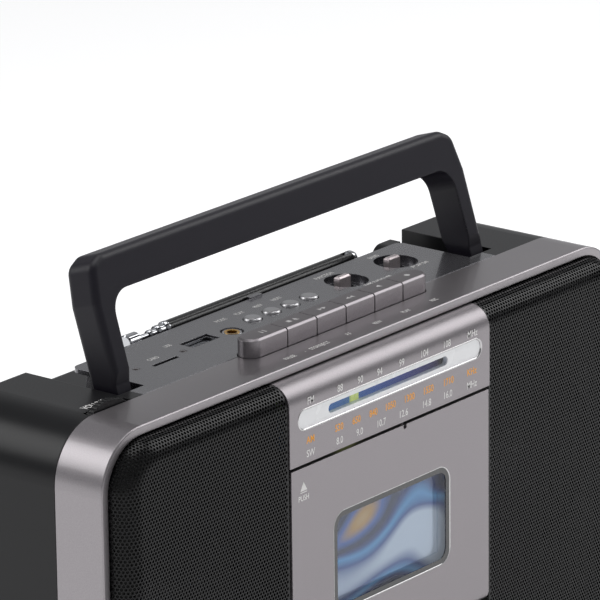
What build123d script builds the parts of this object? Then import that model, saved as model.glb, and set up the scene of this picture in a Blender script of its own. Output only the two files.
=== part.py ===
from build123d import *
import os
from math import cos, radians, sin

os.makedirs("parts", exist_ok=True)

# Portable radio-cassette player, in millimetres. X runs left to right as seen from the front,
# the front faces -Y, +Z is up. The origin is on the floor, under the middle of the case.

# ---- case
WIDTH, HEIGHT, FOOT = 283.0, 150.0, 3.0        # over the case and its feet, handle left out
FRONT, RING_FRONT, SEAM = -49.0, -41.0, -21.0  # fascia face, ring's front edge, ring to rear case
BLOCK_BACK, BACK = 25.0, 49.0                  # back of the upper case, back of the deeper lower case
CORNER = 20.0                                  # corner radius of the case, seen from the front
RING_WALL, CASE_WALL = 3.0, 2.5
MID_Z = (HEIGHT + FOOT) / 2
CASE_H = HEIGHT - FOOT
TUB_FLOOR = 134.0                              # floor of the well under the deck and behind it
TUB_HALF = 102.3                               # half width of that well
TUB_FRONT = -15.2
DECK_EAR_HALF = 96.7                           # half width of the deck where it meets the ring

# ---- fascia
REVEAL = 0.6                                   # groove between ring and fascia
ROLL = 7.6                                     # rolled front edge of fascia and grilles
FASCIA_BACK = -38.0
PANEL_HALF = 55.4                              # half width of the centre column
PANEL_JOINT = 0.2
GRILLE_STEP = 0.5                              # centre column stands this far ahead of the grilles
DOOR_TOP, DOOR_BOTTOM, DOOR_HALF = 116.8, 38.6, 54.8
DOOR_GAP = 1.2
BAFFLE_BACK = -35.5
BAY_HALF, BAY_BOTTOM, BAY_TOP = 53.8, 42.0, 111.0
HEAD_NOTCH = 4.6                               # extra height of the bay where the heads come through
SPEAKER_X, SPEAKER_R = 98.5, 36.0

# ---- dial
DIAL_Z, DIAL_W, DIAL_H = 133.4, 102.0, 7.6
SLOT_X, SLOT_W, SLOT_H = -1.1, 66.0, 3.3
POINTER_X, POINTER_HALF = -16.5, 2.1             # middle and half width of the flag in the slot
RAIL_Y, RAIL_Z, RAIL_R = -42.6, 123.0, 1.0

# ---- door
HINGE_Y, HINGE_Z, HINGE_R = -45.0, 42.6, 1.2
WINDOW_W, WINDOW_H, WINDOW_R, WINDOW_Z = 65.0, 36.0, 6.0, 78.0
NOTCH_X = 7.2

# ---- deck and its controls
DECK_T, DECK_HALF, DECK_BACK, DECK_SKIRT = 1.6, 89.3, 16.5, 3.5
KEY_COUNT, KEY_PITCH, KEY_GAP, KEY_DEPTH = 6, 15.9, 0.5, 8.8
KEY_X, KEY_Y, KEY_TOP, KEY_TALL = 2.7, -23.1, 156.5, 13.0
KEY_CLEARANCE = 0.35
KEY_BAR_X, KEY_BAR_W = 1.2, 97.9                  # the six keys together; the pause key is longer
BUTTON_COUNT, BUTTON_X, BUTTON_Y, BUTTON_PITCH, BUTTON_R = 4, 3.1, 1.2, 10.3, 3.3
DISH_Y, DISH_R, DISH_DEPTH = 2.9, 7.9, 3.0
SWITCH_XS = {"function_switch": 41.7, "band_switch": 70.0}
KNOB_W, KNOB_D, KNOB_RISE, KNOB_REST = 6.2, 2.6, 2.5, -2.3   # size, height above the deck, rest place
JACK_X, JACK_Y, JACK_R = -27.0, -1.6, 3.9
USB_X, USB_Y, USB_W, USB_H = -41.6, 0.5, 13.2, 5.2
CARD_X, CARD_Y, CARD_W, CARD_T = -65.6, -4.6, 13.0, 1.8
LAMPS = ((-53.7, -2.3), (-77.8, -2.1))
LAMP_R = 1.3
WHEEL_X, WHEEL_R, WHEEL_RISE, WHEEL_T = -113.0, 15.0, 2.6, 2.4
WHEEL_Y = -19.4
TUNE_Y, TUNE_Z, TUNE_R, TUNE_T, TUNE_DEEP = 5.0, 88.0, 16.0, 4.0, 3.0

# ---- back of the case
BATTERY_W, BATTERY_LOW, BATTERY_HIGH, BATTERY_FRONT = 110.0, 18.0, 62.0, 15.5
COVER_GAP, CELL_YS, CELL_ZS = 0.3, (23.0, 38.0), (29.0, 51.0)
INLET_X, INLET_Z, INLET_W, INLET_H, INLET_DEEP = -100.0, 30.0, 22.0, 12.0, 14.0
SCREW_X, SCREW_ZS, SCREW_WELL_FLOOR = 131.0, (21.0, 120.0), -14.0
FOOT_X, FOOT_YS, FOOT_R = 112.0, (-31.0, 36.0), 6.0

# ---- handle
PIVOT_Y, PIVOT_Z, LEAN = -9.8, 143.0, 17.4
ARM_IN, ARM_OUT, ARM_ROOT_T, ARM_T = 93.3, 100.4, 10.0, 12.4   # thinner at the pivots than above the deck
ARM_THIN_TO, ARM_THICK_FROM = 8.0, 12.0
GRIP_LOW, GRIP_HIGH, GRIP_IN, GRIP_R, GRIP_IN_R = 37.6, 50.9, 92.4, 5.0, 8.0
GRIP_BEND, GRIP_SHOULDER = (100.4, 35.4), ((98.0, 48.1), (92.3, 50.9))   # how the outer corner comes in
PIN_R, PIN_FIT = 2.4, 0.05

# ---- antenna
ANT_X, ANT_Y, ANT_Z, ANT_R = 66.0, 20.5, 149.0, 2.6
ANT_TUBE_END, ANT_TIP_END, ANT_CAP_R = -37.0, -57.0, 2.9
SECTION_RS = (2.1, 1.5, 1.0)
SECTION_FIT, SECTION_STEP = 0.05, 4.0

# ---- tape mechanism
CHASSIS_Y, CHASSIS_T = -30.0, 1.4              # front face of the plate and its thickness
SPINDLE_REACH, TEETH_REACH = 9.0, 8.5          # how far hub drives stand ahead of the plate
SPINDLE_X, SPINDLE_Z = 21.25, 71.0             # hub centres of a compact cassette, 42.5 mm apart
CAPSTAN_X, CAPSTAN_Z = 15.0, 100.0
FLY_R, FLY_T = 18.0, 5.0
MOTOR_X, MOTOR_Z, MOTOR_R = -36.0, 60.0, 12.0


def facing(y):
    """The upright plane at depth y, drawn as seen from the front; extruding moves forward."""
    return Plane.XZ.offset(-y)


def save(piece, label):
    """Name a finished piece and write it under that name."""
    piece.part.label = label
    export_step(piece.part, f"parts/{label}.step")


def case_outline(inset):
    """The case's rounded outline, moved in by inset."""
    with Locations((0, MID_Z)):
        RectangleRounded(WIDTH - 2 * inset, CASE_H - 2 * inset, CORNER - inset)


def slab(x0, x1, y0, y1, z0, z1, mode=Mode.ADD):
    """A block between two corners."""
    with Locations(((x0 + x1) / 2, (y0 + y1) / 2, (z0 + z1) / 2)):
        Box(x1 - x0, y1 - y0, z1 - z0, mode=mode)


def along_x(r, x0, x1, y, z, mode=Mode.ADD):
    """A rod along X."""
    with Locations(Location(((x0 + x1) / 2, y, z), (0, 90, 0))):
        Cylinder(r, x1 - x0, mode=mode)


def along_y(r, x, y0, y1, z, mode=Mode.ADD):
    """A rod along Y."""
    with Locations(Location((x, (y0 + y1) / 2, z), (90, 0, 0))):
        Cylinder(r, y1 - y0, mode=mode)


def along_z(r, x, y, z0, z1, mode=Mode.ADD):
    """A rod along Z."""
    with Locations((x, y, (z0 + z1) / 2)):
        Cylinder(r, z1 - z0, mode=mode)


def fascia_shell(face_y, wall):
    """The rolled-edge pan that fills the ring, open at the back, as one part."""
    with BuildPart() as pan:
        with BuildSketch(facing(FASCIA_BACK)):
            case_outline(RING_WALL + REVEAL)
        extrude(amount=FASCIA_BACK - face_y)
        fillet(pan.faces().sort_by(Axis.Y)[0].edges(), ROLL)
        offset(amount=-wall, openings=pan.faces().sort_by(Axis.Y)[-1])
    return pan.part


# ======================================================================= front half of the case
with BuildPart() as front_frame:
    with BuildSketch(facing(SEAM)):
        case_outline(0)
        with Locations((0, MID_Z)):
            RectangleRounded(WIDTH - 2 * RING_WALL, CASE_H - 2 * RING_WALL, CORNER - RING_WALL,
                             mode=Mode.SUBTRACT)
    extrude(amount=SEAM - RING_FRONT)
    chamfer(front_frame.faces().sort_by(Axis.Y)[0].outer_wire().edges(), 0.35)
    # shallow groove where the ring meets the rear case
    chamfer(front_frame.faces().sort_by(Axis.Y)[-1].outer_wire().edges(), 0.2)
    with BuildSketch(Plane.XY.offset(HEIGHT)):
        with Locations((KEY_BAR_X, KEY_Y)):
            SlotOverall(KEY_BAR_W + 2 * KEY_CLEARANCE, KEY_DEPTH + 2 * KEY_CLEARANCE)
    extrude(amount=-RING_WALL - 1, mode=Mode.SUBTRACT)
save(front_frame, "front_frame")

pan_grille = fascia_shell(FRONT + GRILLE_STEP, 1.2)
for side, name in ((-1, "left_grille"), (1, "right_grille")):
    with BuildPart() as grille:
        add(pan_grille)
        near, far = side * (PANEL_HALF + PANEL_JOINT), side * WIDTH / 2
        slab(min(near, far), max(near, far), FRONT, FASCIA_BACK, FOOT, HEIGHT, mode=Mode.INTERSECT)
    save(grille, name)

pan_panel = fascia_shell(FRONT, 2.2)
with BuildPart() as dial_panel:
    add(pan_panel)
    slab(-PANEL_HALF, PANEL_HALF, FRONT, FASCIA_BACK, DOOR_TOP + DOOR_GAP, HEIGHT, mode=Mode.INTERSECT)
    with BuildSketch(facing(FRONT + 3)):
        with Locations((0, DIAL_Z)):
            SlotOverall(DIAL_W, DIAL_H)
    extrude(amount=4, mode=Mode.SUBTRACT)
save(dial_panel, "dial_panel")

with BuildPart() as lower_trim:
    add(pan_panel)
    slab(-PANEL_HALF, PANEL_HALF, FRONT, FASCIA_BACK, FOOT, DOOR_BOTTOM - DOOR_GAP, mode=Mode.INTERSECT)
save(lower_trim, "lower_trim")

# The baffle closes the ring from behind and carries speakers, hinge and mechanism.
with BuildPart() as front_baffle:
    with BuildSketch(facing(BAFFLE_BACK)):
        case_outline(RING_WALL)
        with Locations((-SPEAKER_X, MID_Z), (SPEAKER_X, MID_Z)):
            Circle(SPEAKER_R - 4, mode=Mode.SUBTRACT)
        with Locations((0, (BAY_BOTTOM + BAY_TOP) / 2)):
            Rectangle(2 * BAY_HALF, BAY_TOP - BAY_BOTTOM, mode=Mode.SUBTRACT)
        with Locations((0, DIAL_Z - 2)):
            Rectangle(98, 22, mode=Mode.SUBTRACT)
        with Locations((0, BAY_TOP)):
            Rectangle(56, 2 * HEAD_NOTCH, mode=Mode.SUBTRACT)
    extrude(amount=BAFFLE_BACK - FASCIA_BACK)
    for side in (-1, 1):
        for z in SCREW_ZS:
            along_y(4.5, side * SCREW_X, BAFFLE_BACK, SEAM, z)
            along_y(1.5, side * SCREW_X, -33, SEAM, z, mode=Mode.SUBTRACT)
        inner, outer = side * (PANEL_HALF + 0.6), side * (PANEL_HALF + 3.4)
        slab(min(inner, outer), max(inner, outer), FRONT + 1.9, FASCIA_BACK, HINGE_Z - 4, HINGE_Z + 4)
        along_x(HINGE_R + PIN_FIT, min(inner, outer), max(inner, outer), HINGE_Y, HINGE_Z, mode=Mode.SUBTRACT)
save(front_baffle, "front_baffle")

# ======================================================================= tuning dial
with BuildPart() as dial_mask:
    with BuildSketch(facing(FRONT + 2.4)):
        with Locations((0, DIAL_Z)):
            SlotOverall(DIAL_W - 0.3, DIAL_H - 0.3)
        with Locations((SLOT_X, DIAL_Z)):
            SlotOverall(SLOT_W, SLOT_H, mode=Mode.SUBTRACT)
    extrude(amount=2.0)
    chamfer(dial_mask.faces().sort_by(Axis.Y)[0].outer_wire().edges(), 0.5)
save(dial_mask, "dial_mask")

with BuildPart() as dial_window:
    with BuildSketch(facing(FRONT + 2.2)):
        with Locations((SLOT_X, DIAL_Z)):
            SlotOverall(SLOT_W - 0.1, SLOT_H - 0.1)
    extrude(amount=1.4)
save(dial_window, "dial_window")

with BuildPart() as dial_scale:
    slab(-47, 47, -44.6, -43.8, DIAL_Z - 6, DIAL_Z + 6)
    along_x(RAIL_R, -49, 49, RAIL_Y, RAIL_Z)
    for side in (-1, 1):
        slab(side * 47.5 - 1.5, side * 47.5 + 1.5, -44.6, -35.5, RAIL_Z - 2, DIAL_Z + 6)
save(dial_scale, "dial_scale")

with BuildPart() as dial_pointer:
    slab(POINTER_X - POINTER_HALF, POINTER_X + POINTER_HALF, -45.9, -45.3, RAIL_Z + 2, DIAL_Z + 3)
    slab(POINTER_X - 4, POINTER_X + 4, -45.9, -40.6, RAIL_Z - 2, RAIL_Z + 2)
    along_x(RAIL_R + 0.05, POINTER_X - 5, POINTER_X + 5, RAIL_Y, RAIL_Z, mode=Mode.SUBTRACT)
save(dial_pointer, "dial_pointer")

# ======================================================================= cassette door
with BuildPart() as cassette_door:
    slab(-DOOR_HALF, DOOR_HALF, FRONT, HINGE_Y + 3, DOOR_BOTTOM, HINGE_Z)
    fillet(cassette_door.edges().filter_by(Axis.X).group_by(Axis.Z)[0].sort_by(Axis.Y)[0], 3.9)
    slab(-DOOR_HALF, DOOR_HALF, FRONT, FRONT + 2.2, HINGE_Z, DOOR_TOP)
    for side in (-1, 1):
        outer, inner = side * DOOR_HALF, side * (PANEL_HALF - 2)
        slab(min(inner, outer), max(inner, outer), FRONT, HINGE_Y + 3, HINGE_Z, HINGE_Z + 4)
        slab(min(inner, outer), max(inner, outer), FRONT, FRONT + 5, HINGE_Z, DOOR_TOP)
        tip = side * (PANEL_HALF + 3)
        along_x(HINGE_R, min(inner, tip), max(inner, tip), HINGE_Y, HINGE_Z)
    with BuildSketch(facing(FRONT + 3)):
        with Locations((0, WINDOW_Z)):
            RectangleRounded(WINDOW_W, WINDOW_H, WINDOW_R)
    extrude(amount=4, mode=Mode.SUBTRACT)
    # finger notch in the top edge
    along_y(0.9, NOTCH_X, FRONT, FRONT + 1.5, DOOR_TOP - 0.6, mode=Mode.SUBTRACT)
save(cassette_door, "cassette_door")

with BuildPart() as door_window:
    with BuildSketch(facing(FRONT + 2.2)):
        with Locations((0, WINDOW_Z)):
            RectangleRounded(WINDOW_W - 0.3, WINDOW_H - 0.3, WINDOW_R - 0.15)
    extrude(amount=1.8)
    with BuildSketch(facing(FRONT + 3.0)):
        with Locations((0, WINDOW_Z)):
            RectangleRounded(WINDOW_W + 4, WINDOW_H + 4, WINDOW_R + 2)
            Rectangle(WINDOW_W - 8, WINDOW_H - 8, mode=Mode.SUBTRACT)
    extrude(amount=0.8)
save(door_window, "door_window")

# Two side channels and a bottom shelf on the door's back hold the cassette.
with BuildPart() as cassette_holder:
    slab(-50.9, 50.9, FRONT + 2.2, -33.4, HINGE_Z + 0.6, HINGE_Z + 2.2)
    for side in (-1, 1):
        inner, outer = side * 50.9, side * 52.7
        slab(min(inner, outer), max(inner, outer), FRONT + 2.2, -33.4, HINGE_Z + 0.6, 108)
        inner, outer = side * 52.7, side * (PANEL_HALF - 2)
        slab(min(inner, outer), max(inner, outer), FRONT + 2.2, FRONT + 4.6, HINGE_Z + 12, 104)
save(cassette_holder, "cassette_holder")

# ======================================================================= rear half of the case
with BuildPart() as rear_cabinet:
    with BuildSketch(facing(BLOCK_BACK)):
        case_outline(0)
    extrude(amount=BLOCK_BACK - SEAM)
    with BuildSketch(facing(BACK)):
        case_outline(0)
        with Locations((0, TUB_FLOOR + HEIGHT / 2)):
            Rectangle(WIDTH, HEIGHT, mode=Mode.SUBTRACT)
    extrude(amount=BACK - BLOCK_BACK)
    fillet(rear_cabinet.faces().sort_by(Axis.Y)[-1].edges(), 4)
    with BuildSketch(facing(BLOCK_BACK - CASE_WALL)):
        case_outline(CASE_WALL)
    extrude(amount=BLOCK_BACK - CASE_WALL - SEAM, mode=Mode.SUBTRACT)
    with BuildSketch(facing(BACK - CASE_WALL)):
        case_outline(CASE_WALL)
        with Locations((0, TUB_FLOOR - CASE_WALL + HEIGHT / 2)):
            Rectangle(WIDTH, HEIGHT, mode=Mode.SUBTRACT)
    extrude(amount=BACK - BLOCK_BACK, mode=Mode.SUBTRACT)
    # the well that takes the deck, the folded arms and the antenna, open at the back
    slab(-TUB_HALF - CASE_WALL, TUB_HALF + CASE_WALL, TUB_FRONT - CASE_WALL, BLOCK_BACK,
         TUB_FLOOR - CASE_WALL, HEIGHT)
    slab(-TUB_HALF, TUB_HALF, TUB_FRONT, BACK, TUB_FLOOR, HEIGHT, mode=Mode.SUBTRACT)
    slab(-DECK_EAR_HALF, DECK_EAR_HALF, SEAM, TUB_FRONT, HEIGHT - DECK_T, HEIGHT, mode=Mode.SUBTRACT)
    slab(-DECK_EAR_HALF, DECK_EAR_HALF, SEAM, TUB_FRONT - CASE_WALL, TUB_FLOOR, HEIGHT, mode=Mode.SUBTRACT)
    # rounded boss behind the deck's right corner and two rests for the folded antenna
    slab(80.5, 91.6, 17.4, BLOCK_BACK - 3, TUB_FLOOR, HEIGHT - 0.6)
    fillet(rear_cabinet.edges().filter_by(Axis.Y).filter_by_position(Axis.X, 80.4, 80.6)
           .sort_by(Axis.Z)[-1], 5)
    for x in (-30, 30):
        slab(x - 1.5, x + 1.5, 17.6, 24, TUB_FLOOR, ANT_Z - ANT_R - 0.4)
    # handle pivots
    for side in (-1, 1):
        inner, outer = side * TUB_HALF, side * (TUB_HALF + CASE_WALL)
        along_x(PIN_R + PIN_FIT, min(inner, outer), max(inner, outer), PIVOT_Y, PIVOT_Z, mode=Mode.SUBTRACT)
    # slot over the volume wheel
    wheel_back = WHEEL_Y + WHEEL_T / 2 + 0.5
    slab(WHEEL_X - 10.2, WHEEL_X + 10.2, SEAM, wheel_back, HEIGHT - 4, HEIGHT, mode=Mode.SUBTRACT)
    slab(WHEEL_X - 12.5, WHEEL_X + 12.5, SEAM, wheel_back, HEIGHT - 4, HEIGHT - 1, mode=Mode.SUBTRACT)
    # pocket and slot for the tuning wheel in the right side
    slab(WIDTH / 2 - TUNE_DEEP - CASE_WALL, WIDTH / 2 - 1, TUNE_Y - 7, TUNE_Y + 7, TUNE_Z - 19, TUNE_Z + 19)
    slab(WIDTH / 2 - TUNE_DEEP, WIDTH / 2, TUNE_Y - 4.5, TUNE_Y + 4.5, TUNE_Z - 16.5, TUNE_Z + 16.5,
         mode=Mode.SUBTRACT)
    slab(WIDTH / 2 - TUNE_DEEP - CASE_WALL, WIDTH / 2, TUNE_Y - TUNE_T / 2 - 0.5, TUNE_Y + TUNE_T / 2 + 0.5,
         TUNE_Z - 13, TUNE_Z + 13, mode=Mode.SUBTRACT)
    # battery opening, mains inlet opening, screw wells
    slab(-BATTERY_W / 2, BATTERY_W / 2, BACK - CASE_WALL, BACK, BATTERY_LOW, BATTERY_HIGH, mode=Mode.SUBTRACT)
    slab(INLET_X - INLET_W / 2, INLET_X + INLET_W / 2, BACK - CASE_WALL, BACK,
         INLET_Z - INLET_H / 2, INLET_Z + INLET_H / 2, mode=Mode.SUBTRACT)
    for side in (-1, 1):
        for z in SCREW_ZS:
            along_y(5.2, side * SCREW_X, SEAM, BACK - CASE_WALL, z)
            along_y(3.4, side * SCREW_X, SCREW_WELL_FLOOR, BACK, z, mode=Mode.SUBTRACT)
            along_y(1.7, side * SCREW_X, SEAM, SCREW_WELL_FLOOR, z, mode=Mode.SUBTRACT)
save(rear_cabinet, "rear_cabinet")

with BuildPart() as case_screws:
    for side in (-1, 1):
        for z in SCREW_ZS:
            along_y(3.0, side * SCREW_X, SCREW_WELL_FLOOR, SCREW_WELL_FLOOR + 2.4, z)
            along_y(1.45, side * SCREW_X, -32, SCREW_WELL_FLOOR, z)
save(case_screws, "case_screws")

with BuildPart() as feet:
    for x in (-FOOT_X, FOOT_X):
        for y in FOOT_YS:
            along_z(FOOT_R, x, y, 0, FOOT)
    chamfer(feet.faces().group_by(Axis.Z)[0].edges(), 0.6)
save(feet, "feet")

# ======================================================================= battery bay, mains inlet
with BuildPart() as battery_cover:
    slab(COVER_GAP - BATTERY_W / 2, BATTERY_W / 2 - COVER_GAP, BACK - CASE_WALL, BACK,
         BATTERY_LOW + COVER_GAP, BATTERY_HIGH - COVER_GAP)
    # finger slot along the top edge
    with BuildSketch(facing(BACK + 1)):
        with Locations((0, BATTERY_HIGH - 6)):
            SlotOverall(24, 5)
    extrude(amount=2.2, mode=Mode.SUBTRACT)
save(battery_cover, "battery_cover")

with BuildPart() as battery_tray:
    wall = 1.5
    slab(-BATTERY_W / 2 - wall, BATTERY_W / 2 + wall, BATTERY_FRONT - wall, BACK - CASE_WALL,
         BATTERY_LOW - wall, BATTERY_HIGH + wall)
    slab(-BATTERY_W / 2, BATTERY_W / 2, BATTERY_FRONT, BACK - CASE_WALL, BATTERY_LOW, BATTERY_HIGH,
         mode=Mode.SUBTRACT)
save(battery_tray, "battery_tray")

# spring drums on thin plates at both ends of the four cells
with BuildPart() as battery_contacts:
    for side in (-1, 1):
        end, plate, tip = side * BATTERY_W / 2, side * (BATTERY_W / 2 - 0.6), side * (BATTERY_W / 2 - 4)
        for y in CELL_YS:
            for z in CELL_ZS:
                along_x(3.4, min(tip, plate), max(tip, plate), y, z)
                slab(min(plate, end), max(plate, end), y - 5, y + 5, z - 6, z + 6)
save(battery_contacts, "battery_contacts")

# two-pin mains inlet with the usual figure-of-eight opening outline and pins 7.8 mm apart
with BuildPart() as ac_inlet:
    slab(INLET_X - INLET_W / 2 + 0.2, INLET_X + INLET_W / 2 - 0.2, BACK - INLET_DEEP, BACK,
         INLET_Z - INLET_H / 2 + 0.2, INLET_Z + INLET_H / 2 - 0.2)
    with BuildSketch(facing(BACK)):
        with Locations((INLET_X, INLET_Z)):
            SlotOverall(15.5, 8.0)
    extrude(amount=10, mode=Mode.SUBTRACT)
    for side in (-1, 1):
        along_y(1.15, INLET_X + side * 3.9, BACK - 11, BACK - 3, INLET_Z)
save(ac_inlet, "ac_inlet")

# ======================================================================= deck
with BuildPart() as control_deck:
    slab(-DECK_EAR_HALF + 0.1, DECK_EAR_HALF - 0.1, SEAM, TUB_FRONT, HEIGHT - DECK_T, HEIGHT)
    slab(-DECK_HALF, DECK_HALF, TUB_FRONT, DECK_BACK, HEIGHT - DECK_T, HEIGHT)
    fillet(control_deck.edges().filter_by(Axis.Z).group_by(Axis.Y)[-1], 3)
    skirt = DECK_HALF - DECK_SKIRT
    slab(-skirt, skirt, TUB_FRONT, DECK_BACK - DECK_SKIRT, TUB_FLOOR, HEIGHT - DECK_T)
    slab(-skirt + 2, skirt - 2, TUB_FRONT + 2, DECK_BACK - DECK_SKIRT - 2, TUB_FLOOR, HEIGHT - DECK_T,
         mode=Mode.SUBTRACT)
    for x in SWITCH_XS.values():
        along_z(DISH_R + 1.5, x, DISH_Y, HEIGHT - DISH_DEPTH - 1.4, HEIGHT - DECK_T)
        along_z(DISH_R, x, DISH_Y, HEIGHT - DISH_DEPTH, HEIGHT, mode=Mode.SUBTRACT)
        slab(x - 5, x + 5, DISH_Y - 1.1, DISH_Y + 1.1, HEIGHT - 6, HEIGHT, mode=Mode.SUBTRACT)
    for i in range(BUTTON_COUNT):
        x = BUTTON_X + (i - (BUTTON_COUNT - 1) / 2) * BUTTON_PITCH
        along_z(BUTTON_R + 0.2, x, BUTTON_Y, HEIGHT - 4, HEIGHT, mode=Mode.SUBTRACT)
    along_z(JACK_R + 0.2, JACK_X, JACK_Y, HEIGHT - 4, HEIGHT, mode=Mode.SUBTRACT)
    slab(USB_X - USB_W / 2 - 0.6, USB_X + USB_W / 2 + 0.6, USB_Y - USB_H / 2 - 0.6, USB_Y + USB_H / 2 + 0.6,
         HEIGHT - 4, HEIGHT, mode=Mode.SUBTRACT)
    slab(CARD_X - CARD_W / 2, CARD_X + CARD_W / 2, CARD_Y - CARD_T / 2, CARD_Y + CARD_T / 2,
         HEIGHT - 4, HEIGHT, mode=Mode.SUBTRACT)
    for x, y in LAMPS:
        along_z(LAMP_R, x, y, HEIGHT - 4, HEIGHT, mode=Mode.SUBTRACT)
    with BuildSketch(Plane.XY.offset(HEIGHT)):
        with Locations((KEY_BAR_X, KEY_Y)):
            SlotOverall(KEY_BAR_W + 2 * KEY_CLEARANCE, KEY_DEPTH + 2 * KEY_CLEARANCE)
    extrude(amount=-4, mode=Mode.SUBTRACT)
    # tab that keeps the folded antenna from rolling forward
    slab(4.5, 10.5, DECK_BACK - 1, DECK_BACK + 0.9, HEIGHT - DECK_T, HEIGHT + 0.8)
save(control_deck, "control_deck")

KEY_NAMES = ("key_pause", "key_stop", "key_forward", "key_rewind", "key_play", "key_record")


def cassette_key(index):
    """One key: a slice of the long rounded bar, chamfered on top, on a square stem."""
    middle = KEY_X + (index - (KEY_COUNT - 1) / 2) * KEY_PITCH
    with BuildPart() as key:
        with BuildSketch(Plane.XY.offset(KEY_TOP - KEY_TALL)):
            with Locations((KEY_BAR_X, KEY_Y)):
                SlotOverall(KEY_BAR_W, KEY_DEPTH)
        extrude(amount=KEY_TALL)
        chamfer(key.faces().sort_by(Axis.Z)[-1].edges(), 0.7)
        half = (KEY_PITCH - KEY_GAP) / 2
        left_end = -WIDTH / 2 if index == 0 else middle - half
        slab(left_end, middle + half, KEY_Y - KEY_DEPTH, KEY_Y + KEY_DEPTH, 0, HEIGHT * 2,
             mode=Mode.INTERSECT)
        slab(middle - 1.5, middle + 1.5, KEY_Y - 2, KEY_Y + 2, 127, KEY_TOP - KEY_TALL)
    return key


for index, name in enumerate(KEY_NAMES):
    save(cassette_key(index), name)

for i in range(BUTTON_COUNT):
    x = BUTTON_X + (i - (BUTTON_COUNT - 1) / 2) * BUTTON_PITCH
    with BuildPart() as button:
        along_z(BUTTON_R, x, BUTTON_Y, 144.9, HEIGHT + 1.0)
        fillet(button.faces().sort_by(Axis.Z)[-1].edges(), 1.3)
        along_z(BUTTON_R + 0.9, x, BUTTON_Y, 144.9, 146.2)
    save(button, f"button_{i + 1}")

with BuildPart() as switch_board:
    slab(-80, 82, -8, 10, 139.4, 141.0)
    for i in range(BUTTON_COUNT):
        x = BUTTON_X + (i - (BUTTON_COUNT - 1) / 2) * BUTTON_PITCH
        slab(x - 3, x + 3, BUTTON_Y - 3, BUTTON_Y + 3, 141.0, 143.6)
    for x in SWITCH_XS.values():
        slab(x - 7, x + 7, DISH_Y - 3.2, DISH_Y + 3.2, 141.0, 143.2)
    for x, y in LAMPS:
        along_z(LAMP_R - 0.1, x, y, 141.0, HEIGHT - 0.4)
save(switch_board, "switch_board")

for name, dish_x in SWITCH_XS.items():
    x = dish_x + KNOB_REST
    with BuildPart() as switch:
        slab(x - KNOB_W / 2, x + KNOB_W / 2, DISH_Y - KNOB_D / 2, DISH_Y + KNOB_D / 2,
             HEIGHT - DISH_DEPTH + 0.4, HEIGHT + KNOB_RISE)
        chamfer(switch.faces().sort_by(Axis.Z)[-1].edges(), 0.6)
        slab(x - 1.3, x + 1.3, DISH_Y - 0.9, DISH_Y + 0.9, 143.6, HEIGHT - DISH_DEPTH + 0.4)
    save(switch, name)

with BuildPart() as headphone_jack:
    along_z(JACK_R, JACK_X, JACK_Y, 146, HEIGHT - 0.3)
    chamfer(headphone_jack.faces().sort_by(Axis.Z)[-1].edges(), 0.6)
    slab(JACK_X - 4.5, JACK_X + 4.5, JACK_Y - 5, JACK_Y + 5, 141.0, 146.0)
    along_z(1.8, JACK_X, JACK_Y, 141.8, HEIGHT, mode=Mode.SUBTRACT)
save(headphone_jack, "headphone_jack")

with BuildPart() as usb_socket:
    slab(USB_X - USB_W / 2, USB_X + USB_W / 2, USB_Y - USB_H / 2, USB_Y + USB_H / 2, 141.0, HEIGHT - 0.6)
    slab(USB_X - USB_W / 2 + 0.35, USB_X + USB_W / 2 - 0.35,
         USB_Y - USB_H / 2 + 0.35, USB_Y + USB_H / 2 - 0.35, 142.0, HEIGHT, mode=Mode.SUBTRACT)
    slab(USB_X - 5.5, USB_X + 5.5, USB_Y + 0.2, USB_Y + 1.8, 142.0, HEIGHT - 1.6)
save(usb_socket, "usb_socket")

# ======================================================================= volume and tuning wheels
def ribbed_wheel(radius, thick, notches, notch_r):
    """A flat wheel in the XZ plane at the origin with half-round grip notches round its rim."""
    with BuildPart() as wheel:
        with BuildSketch(facing(thick / 2)):
            Circle(radius)
            with PolarLocations(radius + notch_r * 0.45, notches):
                Circle(notch_r, mode=Mode.SUBTRACT)
        extrude(amount=thick)
    return wheel.part


WHEEL_Z = HEIGHT + WHEEL_RISE - WHEEL_R
wheel_blank = ribbed_wheel(WHEEL_R, WHEEL_T, 56, 0.55)
with BuildPart() as volume_wheel:
    with Locations((WHEEL_X, WHEEL_Y, WHEEL_Z)):
        add(wheel_blank)
    along_y(1.5, WHEEL_X, WHEEL_Y, -13, WHEEL_Z)
save(volume_wheel, "volume_wheel")

with BuildPart() as volume_control:
    slab(WHEEL_X - 6, WHEEL_X + 6, -17.6, -9, WHEEL_Z - 6, WHEEL_Z + 6)
    along_y(1.55, WHEEL_X, -17.6, -12.5, WHEEL_Z, mode=Mode.SUBTRACT)
save(volume_control, "volume_control")

TUNE_X = WIDTH / 2 - 0.3 - TUNE_R
tune_blank = ribbed_wheel(TUNE_R, TUNE_T, 60, 0.55)
with BuildPart() as tuning_wheel:
    with Locations((TUNE_X, TUNE_Y, TUNE_Z)):
        add(tune_blank)
    along_y(1.5, TUNE_X, TUNE_Y, 13, TUNE_Z)
save(tuning_wheel, "tuning_wheel")

with BuildPart() as tuning_capacitor:
    slab(TUNE_X - 10, TUNE_X + 10, 8, 22, TUNE_Z - 10, TUNE_Z + 10)
    along_y(1.55, TUNE_X, 8, 13.5, TUNE_Z, mode=Mode.SUBTRACT)
save(tuning_capacitor, "tuning_capacitor")

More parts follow.
